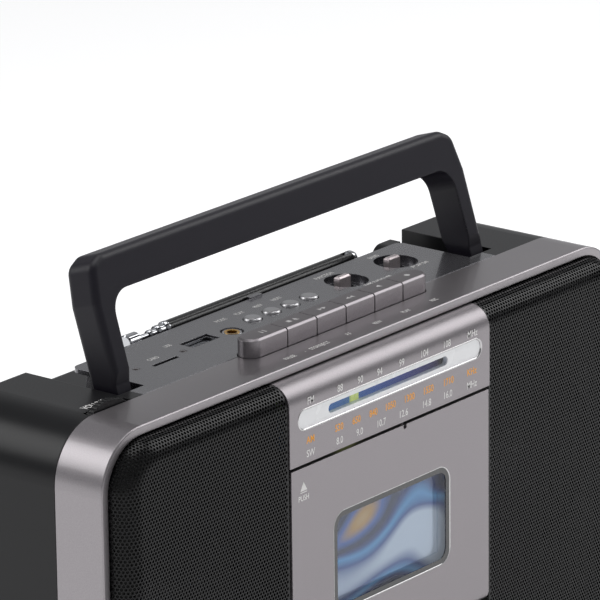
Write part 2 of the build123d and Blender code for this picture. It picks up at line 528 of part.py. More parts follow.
# ======================================================================= handle
bail = Plane(origin=(0, PIVOT_Y, PIVOT_Z), x_dir=(1, 0, 0),
             z_dir=(0, -cos(radians(LEAN)), sin(radians(LEAN))))
with BuildPart() as handle:
    with BuildSketch(bail):
        with BuildLine():
            right_side = ((ARM_OUT, 0), GRIP_BEND, *GRIP_SHOULDER)
            left_side = [(-u, v) for u, v in reversed(right_side)]
            FilletPolyline(*right_side, *left_side, radius=GRIP_R)
            Line((-ARM_OUT, 0), (-ARM_IN, 0))
            FilletPolyline((-ARM_IN, 0), (-GRIP_IN, GRIP_LOW), (GRIP_IN, GRIP_LOW), (ARM_IN, 0),
                           radius=GRIP_IN_R)
            Line((ARM_IN, 0), (ARM_OUT, 0))
        make_face()
    extrude(amount=ARM_T / 2, both=True)
    with BuildSketch(Plane(origin=bail.origin, x_dir=bail.z_dir, z_dir=(-1, 0, 0))):
        half, root = ARM_T / 2, ARM_ROOT_T / 2
        with BuildLine():
            Polyline((root, 0), (root, ARM_THIN_TO), (half, ARM_THICK_FROM), (half, GRIP_HIGH),
                     (-half, GRIP_HIGH), (-half, ARM_THICK_FROM), (-root, ARM_THIN_TO), (-root, 0), close=True)
        make_face()
    extrude(amount=ARM_OUT, both=True, mode=Mode.INTERSECT)
    crest = handle.edges().filter_by(Axis.X).group_by(Axis((0, 0, 0), bail.y_dir))[-1]
    fillet(crest, 2.4)
    for side in (-1, 1):
        along_x(ARM_ROOT_T / 2, min(side * ARM_IN, side * ARM_OUT), max(side * ARM_IN, side * ARM_OUT),
                PIVOT_Y, PIVOT_Z)
        washer, tip = side * (TUB_HALF - 0.3), side * (TUB_HALF + CASE_WALL)
        along_x(4.2, min(side * ARM_OUT, washer), max(side * ARM_OUT, washer), PIVOT_Y, PIVOT_Z)
        along_x(PIN_R, min(side * ARM_OUT, tip), max(side * ARM_OUT, tip), PIVOT_Y, PIVOT_Z)
save(handle, "handle")

# ======================================================================= telescopic antenna
with BuildPart() as antenna_mount:
    along_z(4.2, ANT_X, ANT_Y, TUB_FLOOR + 0.2, 143.6)
    slab(ANT_X - 2.4, ANT_X + 2.4, ANT_Y - 1.0, ANT_Y + 1.0, 143, ANT_Z)
    along_y(2.4, ANT_X, ANT_Y - 1.0, ANT_Y + 1.0, ANT_Z)
    along_y(1.05, ANT_X, ANT_Y - 1.0, ANT_Y + 1.0, ANT_Z, mode=Mode.SUBTRACT)
save(antenna_mount, "antenna_mount")

with BuildPart() as antenna_tube:
    along_x(ANT_R, ANT_TUBE_END, ANT_X, ANT_Y, ANT_Z)
    with Locations((ANT_X, ANT_Y, ANT_Z)):
        Sphere(ANT_R)
    along_x(SECTION_RS[0] + SECTION_FIT, ANT_TUBE_END, ANT_X - 10, ANT_Y, ANT_Z, mode=Mode.SUBTRACT)
    slab(ANT_X - 5, ANT_X + 4, ANT_Y - 1.1, ANT_Y + 1.1, ANT_Z - 4, ANT_Z + 4, mode=Mode.SUBTRACT)
    along_y(1.0, ANT_X, ANT_Y - 2.9, ANT_Y + 2.9, ANT_Z)
save(antenna_tube, "antenna_tube")

section_back = ANT_X - 11
for i, radius in enumerate(SECTION_RS[:2]):
    with BuildPart() as section:
        along_x(radius, ANT_TUBE_END - (i + 1) * SECTION_STEP, section_back, ANT_Y, ANT_Z)
        along_x(SECTION_RS[i + 1] + SECTION_FIT, ANT_TUBE_END - (i + 1) * SECTION_STEP, section_back - 1,
                ANT_Y, ANT_Z, mode=Mode.SUBTRACT)
    save(section, f"antenna_section_{i + 1}")
    section_back -= 2

with BuildPart() as antenna_tip:
    along_x(SECTION_RS[2], ANT_TIP_END + 1, section_back, ANT_Y, ANT_Z)
    along_x(ANT_CAP_R, ANT_TIP_END, ANT_TIP_END + 5.5, ANT_Y, ANT_Z)
    chamfer(antenna_tip.faces().filter_by(GeomType.PLANE).sort_by(Axis.X)[0].edges(), 0.5)
save(antenna_tip, "antenna_tip")

# ======================================================================= speakers
for side, name in ((-1, "left_speaker"), (1, "right_speaker")):
    x = side * SPEAKER_X
    with BuildPart() as speaker:
        with BuildSketch(Plane.XY.offset(MID_Z)):
            with BuildLine():
                Polyline((x + SPEAKER_R, BAFFLE_BACK), (x + SPEAKER_R, -33.5), (x + 31, -33.5), (x + 17, -20),
                         (x + 17, -9), (x, -9), (x, -27.5), (x + 5, -27.0), (x + 9, -24.8), (x + 25, -35.0),
                         (x + 28, -36.6), (x + 31, BAFFLE_BACK), close=True)
            make_face()
        revolve(axis=Axis((x, 0, MID_Z), (0, 1, 0)))
    save(speaker, name)

# ======================================================================= tape mechanism
with BuildPart() as mechanism_chassis:
    slab(-57, 57, CHASSIS_Y, CHASSIS_Y + CHASSIS_T, 39, 114)
    for side in (-1, 1):
        for z in (40.5, 112.5):
            along_y(1.6, side * 50, BAFFLE_BACK, CHASSIS_Y, z)
        along_y(2.05, side * SPINDLE_X, CHASSIS_Y, CHASSIS_Y + CHASSIS_T, SPINDLE_Z, mode=Mode.SUBTRACT)
    along_y(1.05, CAPSTAN_X, CHASSIS_Y, CHASSIS_Y + CHASSIS_T, CAPSTAN_Z, mode=Mode.SUBTRACT)
    along_y(1.9, MOTOR_X, CHASSIS_Y, CHASSIS_Y + CHASSIS_T, MOTOR_Z, mode=Mode.SUBTRACT)
save(mechanism_chassis, "mechanism_chassis")

# The head plate sits over the bay and comes down with the play key.
with BuildPart() as head_plate:
    slab(-26, 26, CHASSIS_Y - 1.6, CHASSIS_Y - 0.3, 109.4, 115.4)
    slab(-6, 6, CHASSIS_Y - 12, CHASSIS_Y - 1.6, 109.4, 114.6)
    slab(-24, -16, CHASSIS_Y - 11, CHASSIS_Y - 1.6, 109.4, 114.0)
save(head_plate, "head_plate")

with BuildPart() as pinch_roller:
    along_y(2.6, CAPSTAN_X + 6, CHASSIS_Y - 10, CHASSIS_Y - 2.2, 112.4)
    along_y(0.9, CAPSTAN_X + 6, CHASSIS_Y - 10.6, CHASSIS_Y - 1.6, 112.4)
save(pinch_roller, "pinch_roller")

with BuildPart() as flywheel:
    along_y(FLY_R, CAPSTAN_X, CHASSIS_Y + 2.4, CHASSIS_Y + 2.4 + FLY_T, CAPSTAN_Z)
    along_y(1.0, CAPSTAN_X, CHASSIS_Y - SPINDLE_REACH, CHASSIS_Y + 2.4, CAPSTAN_Z)
save(flywheel, "flywheel")

for side, name in ((-1, "supply_spindle"), (1, "takeup_spindle")):
    x = side * SPINDLE_X
    with BuildPart() as spindle:
        along_y(2.0, x, CHASSIS_Y - SPINDLE_REACH, CHASSIS_Y + 3, SPINDLE_Z)
        along_y(9, x, CHASSIS_Y - 2.4, CHASSIS_Y - 0.4, SPINDLE_Z)
        for turn in range(3):
            angle = radians(90 + 120 * turn)
            along_y(0.8, x + 2.2 * cos(angle), CHASSIS_Y - TEETH_REACH, CHASSIS_Y - 2.4,
                    SPINDLE_Z + 2.2 * sin(angle))
    save(spindle, name)

with BuildPart() as drive_motor:
    along_y(MOTOR_R, MOTOR_X, CHASSIS_Y + 9, CHASSIS_Y + 30, MOTOR_Z)
    along_y(3, MOTOR_X, CHASSIS_Y + 7.6, CHASSIS_Y + 9, MOTOR_Z)
    along_y(1.05, MOTOR_X, CHASSIS_Y + 7.6, CHASSIS_Y + 16, MOTOR_Z, mode=Mode.SUBTRACT)
    slab(MOTOR_X - 14, MOTOR_X + 14, CHASSIS_Y + 8.4, CHASSIS_Y + 9, MOTOR_Z - 13, MOTOR_Z - 10)
    for side in (-1, 1):
        along_y(1.5, MOTOR_X + side * 12.5, CHASSIS_Y + CHASSIS_T, CHASSIS_Y + 8.4, MOTOR_Z - 11.5)
save(drive_motor, "drive_motor")

with BuildPart() as motor_pulley:
    along_y(3.6, MOTOR_X, CHASSIS_Y + 2.4, CHASSIS_Y + 7.2, MOTOR_Z)
    along_y(1.0, MOTOR_X, CHASSIS_Y + 2.4, CHASSIS_Y + 15, MOTOR_Z)
save(motor_pulley, "motor_pulley")

# ======================================================================= boards and power
with BuildPart() as circuit_board:
    slab(-60, 60, 4, 5.6, 66, 130)
    # main chips, coil can and connector: middle x and z, width, height, depth
    for x, z, w, h, deep in ((-40, 112, 24, 9, 4), (-2, 84, 16, 16, 3),
                             (30, 116, 12, 12, 9), (44, 84, 18, 12, 8)):
        slab(x - w / 2, x + w / 2, 5.6, 5.6 + deep, z - h / 2, z + h / 2)
    for x in (-50, -38, -26):
        along_y(4, x, 5.6, 19, 80)
save(circuit_board, "circuit_board")

with BuildPart() as power_transformer:
    slab(-96, -66, 6, 12.8, CASE_WALL + FOOT, 36)
    slab(-96, -66, 12.8, 13.8, CASE_WALL + FOOT, 8)
    slab(-92, -70, 0, 6, 9, 32)
save(power_transformer, "power_transformer")

with BuildPart() as ferrite_rod:
    along_x(4, -48, 48, 30, 122)
    along_x(5.2, 20, 34, 30, 122)
    for x in (-40, 42):
        slab(x - 2, x + 2, 24, 36, 125.5, TUB_FLOOR - CASE_WALL)
save(ferrite_rod, "ferrite_rod")
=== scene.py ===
import math
import bpy
import numpy as np
from mathutils import Matrix, Vector


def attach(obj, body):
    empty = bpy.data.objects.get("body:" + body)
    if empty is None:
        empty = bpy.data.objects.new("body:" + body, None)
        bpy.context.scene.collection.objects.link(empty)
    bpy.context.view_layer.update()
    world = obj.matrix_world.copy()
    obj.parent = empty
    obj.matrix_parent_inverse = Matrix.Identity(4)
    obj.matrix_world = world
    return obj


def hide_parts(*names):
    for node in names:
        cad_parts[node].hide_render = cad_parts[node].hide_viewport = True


# A portable radio-cassette player. Lengths are metres; X runs left to right seen from the front,
# the front faces -Y and Z is up. The CAD bodies carry everything that moves.
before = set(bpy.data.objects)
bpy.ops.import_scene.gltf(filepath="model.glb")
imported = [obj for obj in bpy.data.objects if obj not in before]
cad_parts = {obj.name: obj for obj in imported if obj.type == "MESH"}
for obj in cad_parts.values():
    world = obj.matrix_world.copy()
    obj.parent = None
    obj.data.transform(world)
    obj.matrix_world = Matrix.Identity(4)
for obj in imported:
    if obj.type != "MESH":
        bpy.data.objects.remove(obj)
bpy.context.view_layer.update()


# ======================================================================= ring, fascia and deck
# The ring round the front, the centre column and the deck are moulded ABS. They are sprayed with a
# warm gunmetal metallic base coat; the ring and the deck get a clear gloss lacquer over it.
MM = 0.001


def linear(code):
    """An sRGB hex colour as linear red, green, blue and an alpha of 1."""
    share = np.array([int(code[i:i + 2], 16) for i in (1, 3, 5)]) / 255
    light = np.where(share <= 0.04045, share / 12.92, ((share + 0.055) / 1.055) ** 2.4)
    return (*light.tolist(), 1.0)


def add(tree, kind, links=None, values=None, **settings):
    """Add a node with its settings and socket values, and link its named inputs from other sockets."""
    made = tree.nodes.new(kind)
    for key, value in settings.items():
        setattr(made, key, value)
    for key, value in (values or {}).items():
        made.inputs[key].default_value = value
    for key, source in (links or {}).items():
        tree.links.new(source, made.inputs[key])
    return made


def material(name, **sockets):
    """A material, its tree and its shader; an underscore in a socket's name stands for a space."""
    made = bpy.data.materials.new(name)
    made.use_nodes = True
    shader = made.node_tree.nodes["Principled BSDF"]
    for key, value in sockets.items():
        shader.inputs[key.replace("_", " ")].default_value = value
    return made, made.node_tree, shader


def grain(tree, shader, size, low, high, roughness, depth, edge):
    """Mottle colour and roughness with a noise of that grain size, roughen the surface by depth and
    round its edges' shading by edge. Low and high are the two colours."""
    place = add(tree, "ShaderNodeTexCoord").outputs["Object"]
    noise = add(tree, "ShaderNodeTexNoise", {"Vector": place}, {"Scale": 1 / size, "Detail": 2.0})
    tone = add(tree, "ShaderNodeMix", {"Factor": noise.outputs["Fac"]}, data_type="RGBA")
    tone.inputs["A"].default_value, tone.inputs["B"].default_value = linear(low), linear(high)
    tree.links.new(tone.outputs["Result"], shader.inputs["Base Color"])
    rough = add(tree, "ShaderNodeMapRange", {"Value": noise.outputs["Fac"]},
                {"From Min": 0.3, "From Max": 0.7, "To Min": roughness[0], "To Max": roughness[1]})
    tree.links.new(rough.outputs["Result"], shader.inputs["Roughness"])
    bevel = add(tree, "ShaderNodeBevel", values={"Radius": edge}, samples=4)
    bump = add(tree, "ShaderNodeBump", {"Height": noise.outputs["Fac"], "Normal": bevel.outputs["Normal"]},
               {"Strength": 1.0, "Distance": depth})
    tree.links.new(bump.outputs["Normal"], shader.inputs["Normal"])
    tree.links.new(bevel.outputs["Normal"], shader.inputs["Coat Normal"])
    return noise


def paint(finish, *names):
    """Give CAD nodes this finish."""
    for name in names:
        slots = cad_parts[name].data.materials
        slots.clear()
        slots.append(finish)


# Aluminium flakes in a satin base coat: a soft broad highlight with a fine sparkle in it. Real flakes
# are about 0.05 mm; they are drawn at 0.35 mm so that they show.
satin_paint, tree, shader = material("gunmetal metallic base coat, satin", Metallic=0.9)
grain(tree, shader, 0.35 * MM, "#847F82", "#A5A0A3", (0.32, 0.44), 0.014 * MM, 0.35 * MM)
paint(satin_paint, "dial_panel", "lower_trim", "cassette_door",
      "key_pause", "key_stop", "key_forward", "key_rewind", "key_play", "key_record")

# The same flakes under clear lacquer: a mirror-like second reflection that grows at low angles.
ring_paint, tree, shader = material("gunmetal metallic under clear lacquer", Metallic=0.9,
                                    Coat_Weight=0.4, Coat_Roughness=0.07)
grain(tree, shader, 0.35 * MM, "#8B8689", "#A9A4A7", (0.30, 0.42), 0.007 * MM, 0.4 * MM)
paint(ring_paint, "front_frame")
deck_paint, tree, shader = material("dark gunmetal under clear lacquer", Metallic=0.8,
                                    Coat_Weight=0.7, Coat_Roughness=0.05)
grain(tree, shader, 0.35 * MM, "#626165", "#737277", (0.22, 0.30), 0.002 * MM, 0.3 * MM)
paint(deck_paint, "control_deck")


# ======================================================================= case, feet and handle
# The rear half, the battery cover and the wheels are black high-impact polystyrene, moulded with a
# fine spark texture. The handle is charcoal ABS; its two arms turn on pins in the sides of the well.
case_black, tree, shader = material("black polystyrene, fine spark texture", IOR=1.59,
                                    Specular_IOR_Level=0.25)
grain(tree, shader, 0.5 * MM, "#0E0E10", "#141416", (0.28, 0.36), 0.004 * MM, 0.5 * MM)
paint(case_black, "rear_cabinet", "battery_cover", "volume_wheel", "tuning_wheel")

handle_black, tree, shader = material("charcoal ABS, satin moulded", IOR=1.53, Specular_IOR_Level=0.3)
grain(tree, shader, 0.6 * MM, "#16141C", "#1E1B25", (0.36, 0.46), 0.010 * MM, 0.9 * MM)
paint(handle_black, "handle")

# Moulded rubber has no highlight to speak of and a dusty, slightly lighter skin.
rubber, tree, shader = material("black moulded rubber", IOR=1.52, Specular_IOR_Level=0.3)
grain(tree, shader, 0.8 * MM, "#171717", "#242322", (0.7, 0.85), 0.02 * MM, 0.3 * MM)
paint(rubber, "feet", "pinch_roller")

# Zinc-plated screws and stampings: grey metal with a faint crystalline mottling.
zinc, tree, shader = material("zinc-plated steel, bright", Metallic=1.0)
grain(tree, shader, 1.2 * MM, "#A9ABAE", "#C4C6C8", (0.25, 0.4), 0.004 * MM, 0.2 * MM)
paint(zinc, "case_screws", "battery_contacts", "mechanism_chassis", "head_plate", "drive_motor",
      "power_transformer", "antenna_mount")


# ======================================================================= speaker grilles
# Each grille is a 0.5 mm steel sheet punched with 1.1 mm holes in staggered rows, its outer edges
# rolled back, painted gloss black and held by the ring. The speakers show faintly through it.
GRILLE_FACE, GRILLE_SHEET, ROLL = -48.5 * MM, 0.5 * MM, 7.6 * MM
HOLE_PITCH, ROW_PITCH, HOLE_R = 1.42 * MM, 1.2 * MM, 0.57 * MM
MID_Z = 76.5 * MM
FLAT_X, FLAT_Z, FLAT_R = 130.3 * MM, 62.3 * MM, 8.8 * MM
GRILLE_INNER = 55.6 * MM
ROLL_LENGTH = ROLL * math.pi / 2
SHEET_END = ROLL_LENGTH + 2.6 * MM
HOLES_END = ROLL_LENGTH + 0.2 * MM
MOST_ROWS, MOST_COLUMNS = 70, 110             # more than enough cells each way from the middle


def piece(name, points, faces, finish, body, sharp=35):
    """A new mesh object on a CAD body. Faces are arrays or lists of corner numbers."""
    mesh = bpy.data.meshes.new(name)
    mesh.from_pydata(np.asarray(points, float).tolist(), [], faces)
    mesh.materials.append(finish)
    mesh.shade_smooth()
    mesh.set_sharp_from_angle(angle=math.radians(sharp))
    made = bpy.data.objects.new(name, mesh)
    bpy.context.scene.collection.objects.link(made)
    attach(made, body)
    return made


def past_flat(u, v):
    """How far a point of the unrolled sheet lies beyond the flat part, and the way out there. The
    flat part is a rounded rectangle; distance to it is distance to its corner circles or its sides."""
    over_u, over_v = np.abs(u) - (FLAT_X - FLAT_R), np.abs(v) - (FLAT_Z - FLAT_R)
    corner = (over_u > 0) & (over_v > 0)
    length = np.hypot(over_u, over_v)
    distance = np.where(corner, length, np.maximum(over_u, over_v)) - FLAT_R
    way_u = np.where(corner, over_u / np.maximum(length, 1e-9), over_u > over_v) * np.sign(u)
    way_v = np.where(corner, over_v / np.maximum(length, 1e-9), over_v >= over_u) * np.sign(v)
    return distance, way_u, way_v


def rolled(u, v, depth):
    """Bend the unrolled sheet: beyond the flat part a point follows a quarter circle back, then runs
    straight back. Depth is how far below the outer skin the point lies."""
    distance, way_u, way_v = past_flat(u, v)
    beyond = np.clip(distance, 0, SHEET_END)
    angle = np.minimum(beyond, ROLL_LENGTH) / ROLL
    out = (ROLL - depth) * np.sin(angle)
    back = ROLL - (ROLL - depth) * np.cos(angle) + np.maximum(beyond - ROLL_LENGTH, 0)
    shift = out - np.maximum(distance, 0)
    return np.stack([u + way_u * shift, GRILLE_FACE + back, MID_Z + v + way_v * shift], -1)


def perforated(side):
    """A honeycomb of cells, each a six-sided ring round a six-sided hole with walls one sheet deep.
    Corner points are shared by neighbours. Cells that would cut an edge are left without a hole."""
    half, third = HOLE_PITCH / 2, ROW_PITCH / 3
    row, column = np.meshgrid(np.arange(-MOST_ROWS, MOST_ROWS + 1),
                              np.arange(-MOST_COLUMNS, MOST_COLUMNS + 1), indexing="ij")
    cell_u = (2 * column + row % 2).ravel()
    cell_v = (3 * row).ravel()
    u, v = cell_u * half, cell_v * third
    distance, _, _ = past_flat(u, v)
    inward = side * u - GRILLE_INNER
    keep = (distance < SHEET_END + half) & (inward > -half)
    cell_u, cell_v, u, v, distance, inward = (x[keep] for x in (cell_u, cell_v, u, v, distance, inward))
    holed = (distance < HOLES_END) & (inward > HOLE_R + 0.3 * MM)
    step_u, step_v = np.array([0, 1, 1, 0, -1, -1]), np.array([2, 1, -1, -2, -1, 1])
    keys = np.stack([cell_u[:, None] + step_u, cell_v[:, None] + step_v], -1).reshape(-1, 2)
    lattice, number = np.unique(keys, axis=0, return_inverse=True)
    number = number.reshape(-1, 6)
    corner_u = side * np.maximum(side * lattice[:, 0] * half, GRILLE_INNER)
    corner_v = lattice[:, 1] * third
    points = [rolled(corner_u, corner_v, 0.0)]
    angle = math.pi / 2 - np.arange(6) * math.pi / 3
    rim_u = (u[holed, None] + HOLE_R * np.cos(angle)).ravel()
    rim_v = (v[holed, None] + HOLE_R * np.sin(angle)).ravel()
    points += [rolled(rim_u, rim_v, 0.0), rolled(rim_u, rim_v, GRILLE_SHEET)]
    outer = number[holed]
    front = len(lattice) + np.arange(holed.sum() * 6).reshape(-1, 6)
    back = front + holed.sum() * 6
    turned = [np.roll(x, -1, 1) for x in (outer, front, back)]
    ring = np.stack([outer, turned[0], turned[1], front], -1).reshape(-1, 4)
    wall = np.stack([front, turned[1], turned[2], back], -1).reshape(-1, 4)
    solid = number[~holed]
    faces = [*ring[:, ::-1].tolist(), *wall[:, ::-1].tolist(), *solid[:, ::-1].tolist()]
    return np.concatenate(points), faces


# Gloss black stoving enamel on steel: dark, with tight bright glints on every rolled hole edge.
enamel, tree, shader = material("black stoving enamel on punched steel", IOR=1.5,
                                Specular_IOR_Level=0.25, Coat_Weight=0.08, Coat_Roughness=0.05)
grain(tree, shader, 0.9 * MM, "#040405", "#09080A", (0.22, 0.34), 0.02 * MM, 0.12 * MM)
for side, label in ((-1, "left"), (1, "right")):
    points, faces = perforated(side)
    grille = piece(f"{label}_grille_sheet", points, faces, enamel, "cabinet")
    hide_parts(f"{label}_grille")
paint(enamel, "left_grille", "right_grille")


# ======================================================================= speakers and baffle
# Each speaker has a pressed steel basket, a black paper cone, a foam surround and a dust cap, which is
# coloured light grey as a painted highlight for the glare on it.
# The baffle, dial base, holder and tray are plain black moulded ABS, seen only through gaps.
SPEAKER_X = 98.5 * MM
CAP_R, CONE_R, BASKET_R = 9.5 * MM, 26.0 * MM, 36 * MM
for side, label in ((-1, "left"), (1, "right")):
    cone, tree, shader = material(f"black paper cone and glossy cap, {label}", Roughness=0.5)
    place = add(tree, "ShaderNodeTexCoord").outputs["Object"]
    apart = add(tree, "ShaderNodeVectorMath", {0: place}, {1: (side * SPEAKER_X, 0, MID_Z)},
                operation="SUBTRACT")
    flat = add(tree, "ShaderNodeVectorMath", {0: apart.outputs[0]}, {1: (1, 0, 1)}, operation="MULTIPLY")
    radius = add(tree, "ShaderNodeVectorMath", {0: flat.outputs[0]}, operation="LENGTH")
    bands = add(tree, "ShaderNodeMapRange", {"Value": radius.outputs["Value"]},
                {"From Min": 0.0, "From Max": BASKET_R})
    ramp = add(tree, "ShaderNodeValToRGB", {"Fac": bands.outputs["Result"]})
    ramp.color_ramp.interpolation = "CONSTANT"
    # Painted highlight: inside CAP_R the dust cap is light grey, standing in for the glare on it.
    ramp.color_ramp.elements[0].color = linear("#77747A")
    ramp.color_ramp.elements[1].position = CAP_R / BASKET_R
    ramp.color_ramp.elements[1].color = linear("#38363A")
    ramp.color_ramp.elements.new(CONE_R / BASKET_R).color = linear("#1B1B1C")
    tree.links.new(ramp.outputs["Color"], shader.inputs["Base Color"])
    fibre = add(tree, "ShaderNodeTexNoise", {"Vector": place}, {"Scale": 1 / (0.7 * MM), "Detail": 3.0})
    bump = add(tree, "ShaderNodeBump", {"Height": fibre.outputs["Fac"]}, {"Distance": 0.03 * MM})
    tree.links.new(bump.outputs["Normal"], shader.inputs["Normal"])
    paint(cone, f"{label}_speaker")

inner_black, tree, shader = material("black ABS, plain moulded", IOR=1.53)
grain(tree, shader, 1.0 * MM, "#101010", "#181818", (0.45, 0.6), 0.01 * MM, 0.2 * MM)
paint(inner_black, "front_baffle", "cassette_holder", "battery_tray", "ac_inlet", "volume_control",
      "tuning_capacitor", "supply_spindle", "takeup_spindle", "ferrite_rod")


# ======================================================================= tuning dial
# A silver-white moulding with a bright bevelled rim lies in the panel's long slot. A narrow clear
# window in it shows a printed strip, blue running to purple, and the pointer's green flag.
FRONT = -49.0 * MM
DIAL_Z, DIAL_W, DIAL_H = 133.4 * MM, 102.0 * MM, 7.6 * MM
SLOT_X, SLOT_W = -1.1 * MM, 66.0 * MM


def hull_path(centres, radii, count=128):
    """The taut loop round some circles in the XZ plane: in each direction the circle that reaches
    furthest gives the point. Returns the points and the directions."""
    turn = (np.arange(count) + 0.5) * 2 * math.pi / count
    way = np.stack([np.cos(turn), np.sin(turn)], -1)
    centres, radii = np.asarray(centres, float), np.asarray(radii, float)
    best = np.argmax(way @ centres.T + radii, axis=1)
    return centres[best] + radii[best, None] * way, way


def corners(x, z, width, height, radius):
    """The four circles whose taut loop is a rounded rectangle."""
    out = [(x + i * (width / 2 - radius), z + k * (height / 2 - radius)) for i in (-1, 1) for k in (-1, 1)]
    return out, [radius] * 4


def closed_grid(points, count, size):
    """Four-sided faces of a count by size grid of points that closes both ways. They are turned to
    face out by the sign of the volume they enclose, the sum of a x b . c over their triangles."""
    i, j = np.meshgrid(np.arange(count), np.arange(size), indexing="ij")
    after, over = (i + 1) % count, (j + 1) % size
    faces = np.stack([i * size + j, after * size + j, after * size + over, i * size + over], -1)
    faces = faces.reshape(-1, 4)
    a, b, c, d = (points[faces[:, k]] for k in range(4))
    volume = (np.cross(a, b) * c).sum() + (np.cross(a, c) * d).sum()
    return (faces if volume > 0 else faces[:, ::-1]).tolist()


def swept(path, way, profile):
    """Carry a closed profile round a closed path. Each profile point is its distance outward from the
    path and its depth Y."""
    profile = np.asarray(profile, float)
    count, size = len(path), len(profile)
    flat = path[:, None] + way[:, None] * profile[None, :, :1]
    depth = np.broadcast_to(profile[None, :, 1], (count, size))
    points = np.stack([flat[..., 0], depth, flat[..., 1]], -1).reshape(-1, 3)
    return points, closed_grid(points, count, size)


# Vacuum-plated trim: a slightly soft mirror.
plated, tree, shader = material("silver vacuum-plated ABS", Metallic=1.0)
grain(tree, shader, 1.5 * MM, "#B9B8B9", "#CAC9C9", (0.14, 0.22), 0.001 * MM, 0.1 * MM)
rim = [(-0.1, 2.2), (-0.1, 0.4), (0.1, 0.05), (0.3, -0.12), (0.55, -0.12), (0.72, -0.02), (0.72, 0.1),
       (0.2, 0.15), (0.2, 2.2)]
points, faces = swept(*hull_path(*corners(0, DIAL_Z, DIAL_W - 1.2 * MM, DIAL_H - 1.2 * MM,
                                          (DIAL_H - 1.2 * MM) / 2)),
                      [(a * MM, FRONT + b * MM) for a, b in rim])
piece("dial_rim", points, faces, plated, "cabinet", sharp=60)

# Gloss white-silver moulding: nearly white, with a soft reflection of its rim.
dial_white, tree, shader = material("pearl white ABS, gloss", IOR=1.53, Coat_Weight=0.6, Coat_Roughness=0.03)
grain(tree, shader, 12.0 * MM, "#EFEFF1", "#F6F6F7", (0.22, 0.3), 0.001 * MM, 0.1 * MM)
paint(dial_white, "dial_mask")

# Clear acrylic lets light through and mirrors it by the angle on its outer face, strongly only at a
# glancing look.
clear = bpy.data.materials.new("clear acrylic, polished")
clear.use_nodes = True
tree = clear.node_tree
tree.nodes.remove(tree.nodes["Principled BSDF"])
through = add(tree, "ShaderNodeBsdfTransparent", values={"Color": linear("#F4F6F8")})
mirror = add(tree, "ShaderNodeBsdfGlossy", values={"Roughness": 0.02})
angle = add(tree, "ShaderNodeFresnel", values={"IOR": 1.49})
back = add(tree, "ShaderNodeNewGeometry").outputs["Backfacing"]
front = add(tree, "ShaderNodeMath", {1: back}, {0: 1.0}, operation="SUBTRACT")
share = add(tree, "ShaderNodeMath", {0: angle.outputs[0], 1: front.outputs[0]}, operation="MULTIPLY")
both = add(tree, "ShaderNodeMixShader", {0: share.outputs[0], 1: through.outputs[0], 2: mirror.outputs[0]})
tree.links.new(both.outputs[0], tree.nodes["Material Output"].inputs["Surface"])
paint(clear, "dial_window", "door_window")

# Printed film: deep blue to violet from left to right, green along its top at the left end. Over the slot it
# also emits its own colours, a painted glow with no lamp behind it.
dial_film, tree, shader = material("printed dial film", Roughness=0.35)
place = add(tree, "ShaderNodeTexCoord").outputs["Object"]
axes = add(tree, "ShaderNodeSeparateXYZ", {"Vector": place})
along = add(tree, "ShaderNodeMapRange", {"Value": axes.outputs["X"]},
            {"From Min": SLOT_X - SLOT_W / 2, "From Max": SLOT_X + SLOT_W / 2})
hue = add(tree, "ShaderNodeValToRGB", {"Fac": along.outputs["Result"]})
hue.color_ramp.elements[0].color = linear("#3A6FA8")
hue.color_ramp.elements[1].color = linear("#332B4E")
hue.color_ramp.elements.new(0.45).color = linear("#38599A")
hue.color_ramp.elements.new(0.75).color = linear("#3A3F7E")
left = add(tree, "ShaderNodeMapRange", {"Value": axes.outputs["X"]},
           {"From Min": 8 * MM, "From Max": -18 * MM})
top = add(tree, "ShaderNodeMapRange", {"Value": axes.outputs["Z"]},
          {"From Min": DIAL_Z + 0.4 * MM, "From Max": DIAL_Z + 0.9 * MM})
green_share = add(tree, "ShaderNodeMath", {0: left.outputs["Result"], 1: top.outputs["Result"]},
                  operation="MULTIPLY")
tint = add(tree, "ShaderNodeMix", {"Factor": green_share.outputs[0]}, data_type="RGBA")
tree.links.new(hue.outputs["Color"], tint.inputs["A"])
tint.inputs["B"].default_value = linear("#6F9A4C")
tree.links.new(tint.outputs["Result"], shader.inputs["Base Color"])
tree.links.new(tint.outputs["Result"], shader.inputs["Emission Color"])
behind_slot = add(tree, "ShaderNodeMath", {0: axes.outputs["X"]}, {1: SLOT_X, 2: SLOT_W / 2},
                  operation="COMPARE")
above = add(tree, "ShaderNodeMath", {0: axes.outputs["Z"]}, {1: DIAL_Z, 2: 3 * MM}, operation="COMPARE")
painted_glow_zone = add(tree, "ShaderNodeMath", {0: behind_slot.outputs[0], 1: above.outputs[0]}, operation="MULTIPLY")
# Painted glow: the film's colours are emitted over the slot band at this strength, standing in for light
# through the window; no lamp is behind it.
PAINTED_GLOW_STRENGTH = 0.55
painted_glow_amount = add(tree, "ShaderNodeMath", {0: painted_glow_zone.outputs[0]}, {1: PAINTED_GLOW_STRENGTH}, operation="MULTIPLY")
tree.links.new(painted_glow_amount.outputs[0], shader.inputs["Emission Strength"])
paint(dial_film, "dial_scale")

# Fluorescent acrylic glows a little at its edges. Here the whole pointer is given a fixed emission, partly
# that fluorescence and partly a painted glow that does not follow the lamps.
flag_green, tree, shader = material("fluorescent yellow-green acrylic", Roughness=0.3, IOR=1.49,
                                    Emission_Strength=0.5)
# Painted glow: a fixed emission in the flag's own yellow-green over the whole pointer.
shader.inputs["Emission Color"].default_value = linear("#C6D27A")
grain(tree, shader, 3.0 * MM, "#B3C063", "#C6D27A", (0.25, 0.35), 0.001 * MM, 0.1 * MM)
paint(flag_green, "dial_pointer")


# ======================================================================= printing
# Names and numbers are silk-screened in white and orange ink about 0.03 mm thick. The dial's rows
# are FM, AM and SW; the deck's words are the usual ones of this kind of player.
INK = 0.03 * MM
DECK_Z = 150.0 * MM


